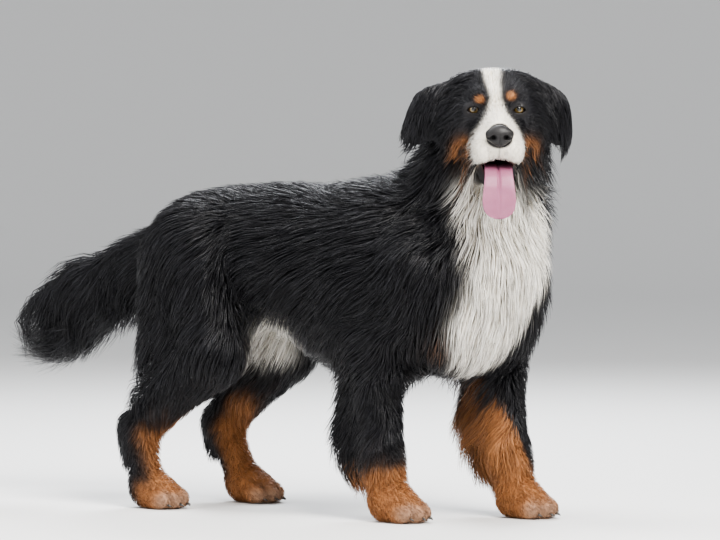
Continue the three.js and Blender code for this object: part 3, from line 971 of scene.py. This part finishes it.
def leg_lie():
    """Stations of the coat on the legs: short and flat in front, feathered behind"""
    found = []
    for side in SIDES:
        x, y, _ = FORE[side]["wrist"]
        ex, _, _ = FORE[side]["elbow"]
        found += [
            ((ex + 50, y, 330), (-0.2, 0, -1), 44, 1.35, 4.2),
            ((x + 20, y, 235), (-0.1, 0, -1), 24, 1.0, 3.4),
            ((ex - 34, y, 300), (-0.9, 0, -1), 118, 1.5, 3.0),
            ((x - 36, y, 200), (-0.8, 0, -1), 128, 1.5, 2.5),
            ((x + 30, y, 115), (0, 0, -1), 16, 0.85, 3.0),
            ((x - 26, y, 100), (-0.3, 0, -1), 26, 1.0, 3.0),
            ((x + 46, y, 55), (0.7, 0, -0.7), 12, 0.8, 2.8),
            ((x + 84, y, 28), (0.8, 0, -0.6), 9, 0.7, 2.6),
        ]
        sx, sy, sz = HIND[side]["stifle"]
        hx, hy, hz = HIND[side]["hock"]
        toe = HIND[side]["toe"]
        found += [
            ((sx + 20, sy, sz + 10), (-0.5, 0, -1), 46, 1.35, 4.2),
            ((sx - 60, sy, sz - 70), (-0.6, 0, -0.8), 30, 1.2, 3.8),
            ((hx - 12, hy, hz + 90), (-0.4, 0, -1), 60, 1.35, 3.8),
            ((hx + 30, hy, hz + 20), (-0.1, 0, -1), 18, 0.85, 3.1),
            ((hx - 24, hy, hz), (-0.5, 0, -1), 46, 1.15, 3.1),
            ((hx + 20, hy, 90), (0.2, 0, -1), 15, 0.85, 3.0),
            ((toe + 14, hy, 52), (0.7, 0, -0.7), 12, 0.8, 2.8),
            ((toe + 54, hy, 28), (0.8, 0, -0.6), 9, 0.7, 2.6),
        ]
    return found


BODY_REACH = 62.0
LEG_REACH = 26.0
HEAD_REACH = 21.0


def lie_stations():
    """All stations as arrays in the dog's frame, with how far each one's influence reaches"""
    rows = []
    for place, lie, *sizes in BODY_LIE:
        for mirror in ((1, 1, 1), (1, -1, 1)):
            rows.append((np.multiply(place, mirror), np.multiply(lie, mirror), sizes, BODY_REACH))
    for place, lie, *sizes in leg_lie():
        rows.append((place, lie, sizes, LEG_REACH))
    for place, lie, *sizes in HEAD_LIE:
        for mirror in ((1, 1, 1), (1, -1, 1)):
            at = from_head(np.multiply(place, mirror))
            rows.append((at, HEAD_AXES @ np.multiply(lie, mirror), sizes, HEAD_REACH))
    places, lies, sizes, reaches = (np.array(column, float) for column in zip(*rows))
    return places, unit(lies), sizes, reaches


LIE_PLACES, LIE_WAYS, LIE_SIZES, LIE_REACHES = lie_stations()


AT_ONCE = 20000


def lie_at(places):
    """The way the hair lies at each place, and its length, half width and spacing"""
    ways = np.empty((len(places), 3))
    sizes = np.empty((len(places), 3))
    for part in np.array_split(np.arange(len(places)), max(1, len(places) // AT_ONCE)):
        off = places[part][:, None, :] - LIE_PLACES[None]
        near = np.sum(off**2, axis=2) / LIE_REACHES**2
        near -= near.min(axis=1)[:, None]
        weight = np.exp(-near * 0.9) / LIE_REACHES
        weight /= weight.sum(axis=1)[:, None]
        ways[part] = weight @ LIE_WAYS
        sizes[part] = weight @ LIE_SIZES
    return ways, sizes


MOST_RISE = 160.0


def reach_out(places, ways):
    """How far it is from each place to the outside of the coat, along a way"""
    gone = np.zeros(len(places))
    for _ in range(7):
        left = -COAT.distance(places + ways * gone[:, None])
        gone = np.clip(gone + left * 0.92, 0, MOST_RISE)
    return gone


def wander_of(places, size):
    """A slow sideways wander, so that neighbouring tufts bend together"""
    x, y, z = places.T / size
    return np.stack(
        (
            np.sin(y * 1.9 + z * 1.3) + np.sin(z * 3.1 + x * 0.7) * 0.6,
            np.sin(x * 1.7 + z * 2.3 + 2.0) + np.sin(x * 3.7 - y * 1.1) * 0.6,
            np.sin(x * 2.1 - y * 1.5 + 4.0) + np.sin(y * 2.9 + x * 1.3) * 0.6,
        ),
        axis=1,
    )


def sample_roots(share):
    """Random places on the skin, as many as the coat's spacing asks for, with their unwrap"""
    corners = skin_places[skin_quads]
    cross = np.cross(corners[:, 2] - corners[:, 0], corners[:, 3] - corners[:, 1])
    area = np.linalg.norm(cross, axis=1) / 2
    middles = corners.mean(axis=1)
    _, sizes = lie_at(middles)
    bare = skin_bare[skin_quads].mean(axis=1)
    soles = middles[:, 2] < SOLES_BELOW
    wanted = area / sizes[:, 2] ** 2 * share * (bare < BARE_FROM) * ~soles
    uv = np.empty(len(skin.data.loops) * 2)
    skin.data.uv_layers["OFBake"].data.foreach_get("uv", uv)
    uv = uv.reshape(-1, 4, 2)
    face = np.repeat(np.arange(len(corners)), rng.poisson(wanted))
    a, b = rng.random((2, len(face), 1))
    weights = np.stack(((1 - a) * (1 - b), a * (1 - b), a * b, (1 - a) * b), axis=1)
    return (corners[face] * weights).sum(axis=1), (uv[face] * weights).sum(axis=1)


FEATHERED_BELOW = 330  # the legs, where a tuft stays as far out as it has once been
FEATHERED_BEHIND = -480  # and the tail
LENGTHS = (0.7, 1.2)  # the range of a tuft's length, as a share of its station's
RISES = (0.3, 0.98)  # and of how far out in the coat its tip comes
RISE_POWER = 0.72
ROOT_DEPTH = 0.6
JITTER = 0.035
BENDS = ((46, 0.11), (14, 0.05))  # the size of each sideways wander, and how much it bends a tuft


def grow(roots, pieces):
    """The middle line of each tuft, from its root to its tip, and its size"""
    ways, sizes = lie_at(roots)
    length = sizes[:, 0] * rng.uniform(*LENGTHS, len(roots))
    normal = unit(slope_of(FLESH, roots)[1])
    share = rng.uniform(*RISES, len(roots)) ** 0.7
    feathered = (roots[:, 2] < FEATHERED_BELOW) | (roots[:, 0] < FEATHERED_BEHIND)
    room = np.zeros(len(roots))
    at = roots.copy()
    line = [roots - normal * ROOT_DEPTH]
    wander = sum(wander_of(roots, size) * bend for size, bend in BENDS)
    for step in range(1, pieces + 1):
        lie = lie_at(at)[0] if pieces > 2 else ways
        lie = lie + wander + rng.normal(0, JITTER, at.shape)
        flat = unit(lie - normal * np.sum(lie * normal, axis=1)[:, None])
        at = at + flat * (length / pieces)[:, None]
        here, slope = slope_of(FLESH, at)
        normal = unit(slope)
        at = at - normal * np.clip(here, -12, 12)[:, None]
        found = reach_out(at, normal)
        room = np.where(feathered, np.maximum(room * 0.98, found), found)
        height = room * share * (step / pieces) ** RISE_POWER
        tip = at + normal * height[:, None]
        over = COAT.distance(tip) + 1
        line.append(tip - normal * np.clip(over, 0, 80)[:, None])
    return np.stack(line, axis=1), sizes


STRAIGHT = 0.4  # the least cosine of a turn
EVEN = 2.6  # the longest piece of a tuft, as a share of its median piece


def smooth_enough(lines):
    """Which tufts run on without a sharp turn, which one at a thin edge of the skin may have"""
    ways = np.diff(lines[:, 1:] if lines.shape[1] > 3 else lines, axis=1)
    size = np.linalg.norm(ways, axis=2)
    ways = ways / (size[:, :, None] + 1e-9)
    turns = np.sum(ways[:, 1:] * ways[:, :-1], axis=2)
    even = size.max(axis=1) < EVEN * np.median(size, axis=1) + 2
    return (turns.min(axis=1) > STRAIGHT) & even


LOCK_WIDTH = 70


def gather(lines, roots, strength, share):
    """Draws the tips of neighbouring tufts towards a shared one, as in locks of hair"""
    leaders = np.flatnonzero(rng.random(len(roots)) < share)
    tree = KDTree(len(leaders))
    for n, leader in enumerate(leaders):
        tree.insert(roots[leader], n)
    tree.balance()
    nearest = np.array([leaders[tree.find(root)[1]] for root in roots])
    along = np.linspace(0, 1, lines.shape[1])[None, :, None] ** 1.3
    offset = lines[nearest] - lines
    far = np.linalg.norm(offset[:, -1], axis=1)
    held = strength * rng.uniform(0.55, 1.0, len(roots)) * np.exp(-((far / LOCK_WIDTH) ** 2))
    return lines + offset * along * held[:, None, None]


TUFT_SIDES = 3
MOST_TRIANGLES = 190000  # in one piece of the coat
PATCH = 0.003  # the size of a tuft's patch on the map
SEEN = 0.6  # how far along a tuft the part is that shows, which gives it its marking


def build_tufts(name, lines, sizes, roots, root_uv):
    """Tapered three-sided tufts as joined meshes, each under the limit of triangles for a piece"""
    count, rings, _ = lines.shape
    per_tuft = TUFT_SIDES * (2 * (rings - 2) + 1)
    most = MOST_TRIANGLES // per_tuft
    seen_part = lines[:, round((rings - 1) * SEEN)]
    white, rust = markings(seen_part + rng.normal(0, 1.2, roots.shape))
    shade = rng.random(count)
    along = np.append(np.repeat(np.linspace(0, 1, rings)[:-1], TUFT_SIDES), 1.0)
    tones = np.stack((white, rust, shade), axis=1)
    for index, start in enumerate(range(0, count, most)):
        part = slice(start, start + most)
        obj = one_tuft_mesh(f"{name}_{index + 1}", lines[part], sizes[part, 1], root_uv[part])
        own = np.repeat(tones[part], len(along), axis=0)
        ends = np.tile(along, len(tones[part]))
        store(obj, "tone", np.column_stack((own, ends)))
        declare(obj, COAT_MATERIAL, "coat")


def one_tuft_mesh(name, lines, widths, root_uv):
    """Tufts of one mesh: three edges along each middle line, which taper to its tip"""
    count, rings, _ = lines.shape
    ahead = np.gradient(lines, axis=1)
    ahead /= np.linalg.norm(ahead, axis=2)[:, :, None] + 1e-9
    aside = np.cross(ahead, rng.normal(0, 1, (count, 1, 3)) * 0.35 + np.array((0.1, 0.2, 0.9)))
    aside /= np.linalg.norm(aside, axis=2)[:, :, None] + 1e-9
    above = np.cross(aside, ahead)
    taper = 1 - np.linspace(0, 1, rings) ** 1.7 * 0.96
    spread = (widths[:, None] * taper[None])[:, :, None]
    rims = []
    for turn in np.linspace(0, 2 * math.pi, TUFT_SIDES, endpoint=False) + math.pi / 2:
        rims.append(lines + (aside * math.cos(turn) + above * 0.6 * math.sin(turn)) * spread)
    rims = np.stack(rims, axis=2)[:, :-1].reshape(count, -1, 3)
    vertices = np.concatenate((rims, lines[:, -1:]), axis=1)
    faces, patches = tuft_faces(rings)
    first = (np.arange(count) * vertices.shape[1])[:, None, None]
    obj = new_mesh(name, vertices.reshape(-1, 3), (faces[None] + first).reshape(-1, 3), 3)
    layer = obj.data.uv_layers.new(name="OFBake")
    spots = np.clip(root_uv[:, None, None, :] + (patches[None] - 0.5) * PATCH, 0, 1)
    layer.data.foreach_set("uv", spots.astype(np.float32).ravel())
    return obj


def tuft_faces(rings):
    """One tuft's triangles, and where each of their corners is on the tuft's patch of the map"""
    faces = []
    patches = []
    last = rings - 1
    for ring, side in product(range(last), range(TUFT_SIDES)):
        here = ring * TUFT_SIDES + side
        beside = ring * TUFT_SIDES + (side + 1) % TUFT_SIDES
        left, right = side / TUFT_SIDES, (side + 1) / TUFT_SIDES
        low, high = ring / last, (ring + 1) / last
        if ring == last - 1:
            faces.append((here, beside, last * TUFT_SIDES))
            patches.append(((left, low), (right, low), ((left + right) / 2, high)))
            continue
        faces.append((here, beside, beside + TUFT_SIDES))
        faces.append((here, beside + TUFT_SIDES, here + TUFT_SIDES))
        patches.append(((left, low), (right, low), (right, high)))
        patches.append(((left, low), (right, high), (left, high)))
    return np.array(faces), np.array(patches)


BARE_FROM = 0.35
SOLES_BELOW = 5
ROOT_SHARE = 0.85
SHORT_BELOW = 17
LOWEST_HAIR = 1.5

# Each length of coat: its pieces along a tuft, how hard locks draw together, and the share that leads
COATS = {"coat_short": (2, 0.3, 0.2), "coat_long": (4, 0.4, 0.14)}


def make_coat():
    """Roots all over the skin, then the short tufts of the face and feet, and the long ones"""
    roots, uv = sample_roots(ROOT_SHARE)
    short = lie_at(roots)[1][:, 0] < SHORT_BELOW
    for name, (pieces, strength, share) in COATS.items():
        chosen = short if name == "coat_short" else ~short
        lines, sizes = grow(roots[chosen], pieces)
        kept = smooth_enough(lines)
        own_roots = roots[chosen][kept]
        lines = gather(lines[kept], own_roots, strength, share)
        lines[:, :, 2] = np.maximum(lines[:, :, 2], LOWEST_HAIR)
        build_tufts(name, lines, sizes[kept], own_roots, uv[chosen][kept])


make_coat()

# The bare pieces: eyes, nose, tongue and claws
PUPIL_BLACK = (0.002, 0.002, 0.002)
IRIS_DARK = (0.05, 0.032, 0.012)
IRIS_LIGHT = (0.2, 0.135, 0.045)
IRIS_RIM = (0.03, 0.018, 0.008)
EYE_WHITE = (0.09, 0.06, 0.05)
EYE_IRIS = 0.8  # how far from the middle of the gaze the iris reaches, in radians
EYE_PUPIL = 0.36
CORNEA = 0.07  # how far the clear front bulges, as a share of the radius
CORNEA_WIDE = 0.75
EYES_OUT = math.radians(3)


def eye_material():
    material, tree = new_material("eye", Roughness=0.22, Coat_Weight=1.0, Coat_Roughness=0.02)
    gaze = attribute(tree, "gaze")
    streaks = noise(tree, 900.0, 3.0)
    iris = (streaks * 1.3 - 0.15).clamp().blend(IRIS_DARK, IRIS_LIGHT)
    at_pupil = ((gaze - EYE_PUPIL) * 30.0).clamp()
    at_rim = ((gaze - EYE_IRIS * 0.86) * 9.0).clamp()
    at_white = ((gaze - EYE_IRIS * 1.02) * 14.0).clamp()
    color = at_pupil.blend(PUPIL_BLACK, iris)
    color = at_rim.blend(color, IRIS_RIM)
    feed(material, Base_Color=at_white.blend(color, EYE_WHITE))
    return material


def make_eye(side, material):
    """An eyeball with its clear bulge, and how far each point is from the middle of the gaze"""
    s = SIDES[side]
    sphere = bpy.ops.mesh.primitive_uv_sphere_add
    eye = primitive(f"eye_{side}", sphere, segments=64, ring_count=48, radius=EYE_RADIUS)
    gazes = []

    def aim(places):
        angle = np.arccos(np.clip(places[:, 2] / EYE_RADIUS, -1, 1))
        gazes.extend(angle)
        bulge = 1 + CORNEA * np.clip(1 - angle / CORNEA_WIDE, 0, 1) ** 0.8
        swollen = places * bulge[:, None]
        ahead = np.stack((swollen[:, 2], swollen[:, 0], swollen[:, 1]), axis=1)
        turned = ahead @ axes_of(EYES_OUT * s).T
        return from_head(turned + np.array((EYE_PLACE[0], EYE_PLACE[1] * s, EYE_PLACE[2])))

    reshape(eye, aim)
    store(eye, "gaze", gazes)
    declare(eye, material, "eye", f"{side}_eye")


LEATHER = (0.017, 0.0155, 0.016)
LEATHER_DARK = (0.007, 0.0065, 0.007)


def leather_material():
    material, tree = new_material("nose_leather", Specular_IOR_Level=0.35, Coat_Weight=0.08)
    pebbles = make_node(tree, "ShaderNodeTexVoronoi", "Distance", Vector=place_on(tree), Scale=620.0)
    feed(material, Base_Color=pebbles.blend(LEATHER, LEATHER_DARK), Roughness=pebbles * 0.2 + 0.38)
    feed(material, Normal=bump(tree, pebbles, 0.5, 0.0006))
    return material


NOSTRIL = {"out": 12.0, "up": -3.0, "radius": 5.6, "depth": 13.0}


def shape_nose(places):
    """A rounded pad, broad above and narrow below, with nostrils and a groove"""
    f, l, u = (places * NOSE_RADII).T
    l = l * np.interp(u, (-21, -8, 8, 21), (0.56, 0.94, 1.06, 0.9))
    f = f + np.clip(f - 8, 0, None) * -0.25
    side = np.abs(l)
    front = f > 0
    across = (side - NOSTRIL["out"]) / NOSTRIL["radius"]
    pit = np.exp(-1.6 * (across**2 + ((u - NOSTRIL["up"]) / 5.0) ** 2))
    slit = np.exp(-(((u + 6 - (side - 14) * 0.25) / 2.2) ** 2)) * np.clip((side - 13) / 5, 0, 1)
    groove = np.exp(-((l / 1.5) ** 2)) * np.clip((4 - u) / 8, 0, 1)
    f = f - front * (pit * NOSTRIL["depth"] + slit * 5.0 + groove * 2.6)
    return from_head(np.stack((f, l, u), axis=1) + NOSE_PLACE)


def make_nose(material):
    sphere = bpy.ops.mesh.primitive_uv_sphere_add
    nose = primitive("nose_pad", sphere, segments=120, ring_count=90, radius=1.0)
    reshape(nose, shape_nose)
    declare(nose, material, "nose_and_claws", "nose")


# The middle line of the tongue, forward and up from the eye line, and its half width by share of length
TONGUE_LINE = (
    (-8, -106),
    (26, -107),
    (54, -111),
    (74, -118),
    (88, -130),
    (95, -147),
    (98, -172),
    (95, -208),
)
TONGUE_WIDE = (
    (0, 25),
    (0.3, 25.5),
    (0.55, 27),
    (0.8, 32.5),
    (0.87, 31),
    (0.92, 28),
    (0.96, 22),
    (0.985, 15),
    (1, 6),
)
TONGUE_THICK = 5.5
TONGUE_GROOVE = 3.4
TONGUE_CUP = 4.5  # how far its edges turn up
TONGUE_PINK = (0.36, 0.14, 0.22)
TONGUE_SHADE = (0.22, 0.062, 0.12)


def tongue_material():
    material, tree = new_material("tongue", Coat_Weight=0.06, Coat_Roughness=0.3)
    feed(material, Subsurface_Weight=0.12, Subsurface_Radius=(0.008, 0.003, 0.002))
    fine = noise(tree, 380.0, 5.0)
    slow = noise(tree, 42.0, 2.0)
    flush = (slow * 0.8 + fine * 0.3).clamp().blend(TONGUE_SHADE, TONGUE_PINK)
    feed(material, Base_Color=flush, Roughness=fine * 0.2 + 0.42, Normal=bump(tree, fine, 0.35, 0.0007))
    return material


def shape_tongue(places):
    """A cube from -1 to 1 drawn out along the tongue's middle line, thin at its rim and grooved"""
    along, across, through = places.T
    along = (along + 1) / 2
    line = np.array(TONGUE_LINE, float)
    gone = np.concatenate(((0,), np.cumsum(np.linalg.norm(np.diff(line, axis=0), axis=1))))
    gone /= gone[-1]
    f, u = (np.interp(along, gone, line[:, n]) for n in (0, 1))
    before, after = along - 0.05, along + 0.05
    df, du = (np.interp(after, gone, line[:, n]) - np.interp(before, gone, line[:, n]) for n in (0, 1))
    size = np.hypot(df, du) + 1e-6
    width = steps(along, *TONGUE_WIDE)
    rim = np.sqrt(np.clip(1 - across**2 * 0.94, 0.02, 1))
    thick = TONGUE_THICK * rim * np.clip((1.02 - along) / 0.12, 0.35, 1) ** 0.5
    groove = np.exp(-((across / 0.09) ** 2)) * (through > 0) * np.clip((0.95 - along) / 0.3, 0, 1)
    lift = through * thick - groove * TONGUE_GROOVE + across**2 * TONGUE_CUP
    ahead = lift * -du / size
    above = lift * df / size
    ripple = np.sin(along * 23 + across * 2) * 0.4 + np.sin(along * 9) * 1.5 * across**2
    return from_head(np.stack((f + ahead + ripple * 0.4, across * width, u + above), axis=1))


def make_tongue(material):
    tongue = primitive("tongue_soft", bpy.ops.mesh.primitive_cube_add, size=2.0)
    bpy.ops.object.mode_set(mode="EDIT")
    bpy.ops.mesh.select_all(action="SELECT")
    bpy.ops.mesh.subdivide(number_cuts=44)
    bpy.ops.object.mode_set(mode="OBJECT")
    reshape(tongue, shape_tongue)
    declare(tongue, material, "tongue", "tongue")


HORN_DARK = (0.012, 0.011, 0.01)
HORN_LIGHT = (0.06, 0.05, 0.042)
CLAW = {"length": 18, "root": 4.6, "tip": 0.9, "ahead": 15, "height": 15}
CLAW_NARROW = 0.75


def horn_material():
    material, tree = new_material("claw_horn", Roughness=0.35, Coat_Weight=0.2)
    bands = noise(tree, 160.0, 3.0)
    feed(material, Base_Color=bands.blend(HORN_DARK, HORN_LIGHT))
    return material


def make_claw(name, toe, material):
    """One claw, curved down in front of its toe"""
    cone = bpy.ops.mesh.primitive_cone_add
    sizes = {"radius1": CLAW["root"], "radius2": CLAW["tip"], "depth": CLAW["length"]}
    claw = primitive(name, cone, vertices=20, **sizes)

    def curl(places):
        along = places[:, 2] + CLAW["length"] / 2
        drop = -0.2 * along - 0.012 * along**2
        ahead = along + toe[0] + CLAW["ahead"]
        above = places[:, 0] + CLAW["height"] + drop
        return np.stack((ahead, places[:, 1] * CLAW_NARROW + toe[1], above), axis=1)

    reshape(claw, curl)
    declare(claw, material, "nose_and_claws")


def make_claws(material):
    for side in SIDES:
        feet = {"fore": FORE[side]["wrist"][0] + 34, "hind": HIND[side]["toe"] + 4}
        for end, x in feet.items():
            for n, toe in enumerate(toes_of(x, STANCE * SIDES[side])):
                make_claw(f"claw_{side}_{end}_{n + 1}", toe, material)


EYE_MATERIAL = eye_material()
for eye_side in SIDES:
    make_eye(eye_side, EYE_MATERIAL)
make_nose(leather_material())
make_tongue(tongue_material())
make_claws(horn_material())

OWN_PIECES = ("left_eye", "right_eye", "nose", "tongue")
FLESH_NODES = [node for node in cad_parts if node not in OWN_PIECES]
declare(skin, SKIN_MATERIAL, "coat", *FLESH_NODES)

# Camera, floor and light. The camera's places are metres from the middle of the dog, and the photo's
# sizes are pixels.
AZIMUTH = math.radians(33)
CAMERA_FAR = 8.956
CAMERA_HEIGHT = 0.805
CAMERA_ASIDE = -0.006
FOCAL = 223.5
PHOTO_MIDDLE = 270
HORIZON_ROW = 113
FOCAL_PIXELS = 4470
HORIZON_DROP = math.atan((PHOTO_MIDDLE - HORIZON_ROW) / FOCAL_PIXELS)
ACROSS = Vector((math.cos(AZIMUTH), math.sin(AZIMUTH), 0))
AWAY = Vector((-math.sin(AZIMUTH), math.cos(AZIMUTH), 0))

# Each lamp: azimuth in degrees, height and distance from its aim, width, power and colour
LAMP_AIM = Vector((0.05, 0, 0.45))
LAMPS = {
    "key": (62, 2.6, 3.2, 2.2, 290, (1.0, 0.97, 0.93)),
    "fill": (-20, 1.5, 4.0, 3.0, 70, (1, 1, 1)),
    "rim": (205, 2.6, 3.0, 2.0, 170, (0.93, 0.96, 1.0)),
    "top": (300, 3.4, 1.2, 2.4, 130, (1, 1, 1)),
}
SKY = (0.88, 0.9, 0.93, 1)
SKY_STRENGTH = 0.7
FLOOR_COLOR = (0.8, 0.795, 0.785)
FLOOR_SIZE = 44
FLOOR_FLAT = 11.0  # how far out the floor starts to rise
FLOOR_RISE = 0.09


def make_camera():
    data = bpy.data.cameras.new("camera")
    data.lens = FOCAL
    data.sensor_width = 36
    data.clip_end = 60
    camera = bpy.data.objects.new("camera", data)
    bpy.context.scene.collection.objects.link(camera)
    place = AWAY * -CAMERA_FAR + ACROSS * CAMERA_ASIDE + Vector((0, 0, CAMERA_HEIGHT))
    camera.location = place + Vector(SHIFT)
    camera.rotation_euler = (math.pi / 2 - HORIZON_DROP, 0, AZIMUTH)
    bpy.context.scene.camera = camera


def make_lamp(name, azimuth, height, far, size, power, color):
    """A soft lamp aimed at the middle of the dog"""
    data = bpy.data.lights.new(name, "AREA")
    data.shape = "DISK"
    data.size = size
    data.energy = power
    data.color = color
    lamp = bpy.data.objects.new(name, data)
    bpy.context.scene.collection.objects.link(lamp)
    turn = math.radians(azimuth)
    lamp.location = LAMP_AIM + Vector((math.sin(turn) * far, -math.cos(turn) * far, height))
    lamp.rotation_euler = (LAMP_AIM - lamp.location).to_track_quat("-Z", "Y").to_euler()


def bowl(places):
    """A flat floor that sweeps up far away on every side, so that it has no hard horizon"""
    past = np.clip(np.hypot(places[:, 0], places[:, 1]) - FLOOR_FLAT, 0, None)
    return np.stack((places[:, 0], places[:, 1], FLOOR_RISE * past**2), axis=1)


def make_studio():
    grid = bpy.ops.mesh.primitive_grid_add
    floor = primitive("floor", grid, x_subdivisions=160, y_subdivisions=160, size=FLOOR_SIZE)
    reshape(floor, bowl)
    floor.data.materials.append(new_material("floor", Roughness=0.8, Base_Color=FLOOR_COLOR)[0])
    world = bpy.data.worlds.new("studio")
    world.use_nodes = True
    sky = world.node_tree.nodes["Background"]
    sky.inputs["Color"].default_value = SKY
    sky.inputs["Strength"].default_value = SKY_STRENGTH
    scene = bpy.context.scene
    scene.world = world
    scene.view_settings.view_transform = "AgX"
    scene.view_settings.look = "AgX - Medium High Contrast"
    for name, values in LAMPS.items():
        make_lamp(name, *values)


make_camera()
make_studio()
